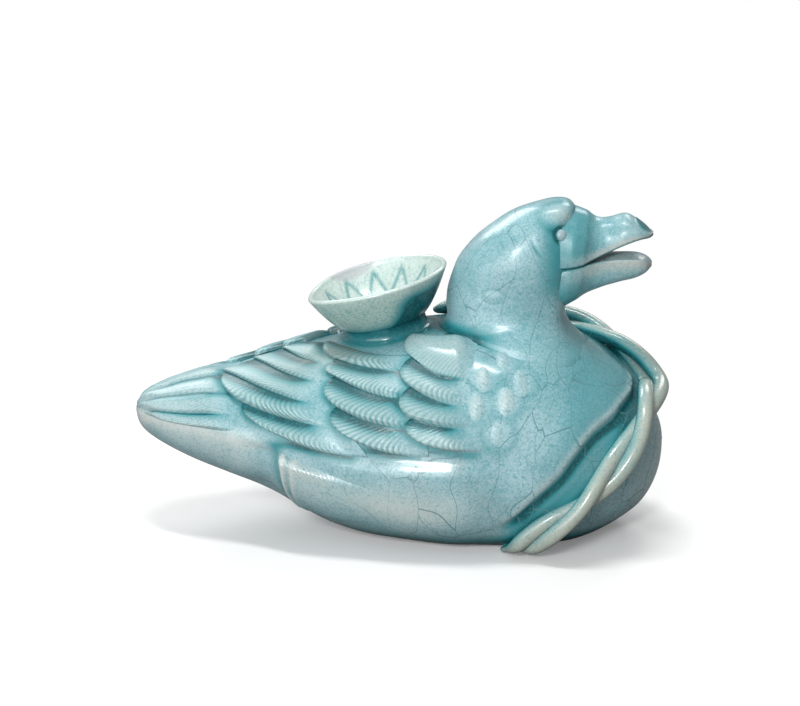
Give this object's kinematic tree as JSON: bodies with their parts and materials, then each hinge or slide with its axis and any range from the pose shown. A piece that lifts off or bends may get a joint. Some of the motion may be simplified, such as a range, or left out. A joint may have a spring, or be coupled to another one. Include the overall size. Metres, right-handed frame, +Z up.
{
  "type": "korean duck shaped vessel",
  "caption": "Hollow celadon water vessel shaped as a swimming duck, with a filling cup on its back, an open bill as spout, carved feathers and a twisted stem round the breast.",
  "frame": {"origin": "on the flat base, under the middle of the duck's length and width", "axes": "+X from the tail to the breast and bill, +Y to the duck's left, +Z up"},
  "size_m": [0.1764, 0.088, 0.1124],
  "materials": {
    "celadon_glaze": "glossy crackled celadon glaze",
    "feather_glaze": "glossy crackled celadon glaze",
    "pale_glaze": "glossy crackled celadon glaze",
    "cup_glaze": "glossy crackled celadon glaze",
    "eye_glaze": "glossy crackled celadon glaze"
  },
  "bodies": {
    "root": {"lower_body_shell": "celadon_glaze", "upper_body_shell": "celadon_glaze", "neck_and_head": "celadon_glaze", "upper_bill": "celadon_glaze", "lower_bill": "celadon_glaze", "right_eye": "eye_glaze", "left_eye": "eye_glaze", "filling_cup": "cup_glaze", "stem_strand_one": "pale_glaze", "stem_strand_two": "pale_glaze", "tail_feathers": "feather_glaze", "right_flight_feathers": "feather_glaze", "left_flight_feathers": "feather_glaze", "right_wing_coverts": "feather_glaze", "left_wing_coverts": "feather_glaze", "right_shoulder_feathers": "feather_glaze", "left_shoulder_feathers": "feather_glaze", "right_shoulder_scales": "feather_glaze", "left_shoulder_scales": "feather_glaze", "right_flank_fold": "celadon_glaze", "left_flank_fold": "celadon_glaze", "apron_edge": "celadon_glaze"}
  },
  "joints": []
}
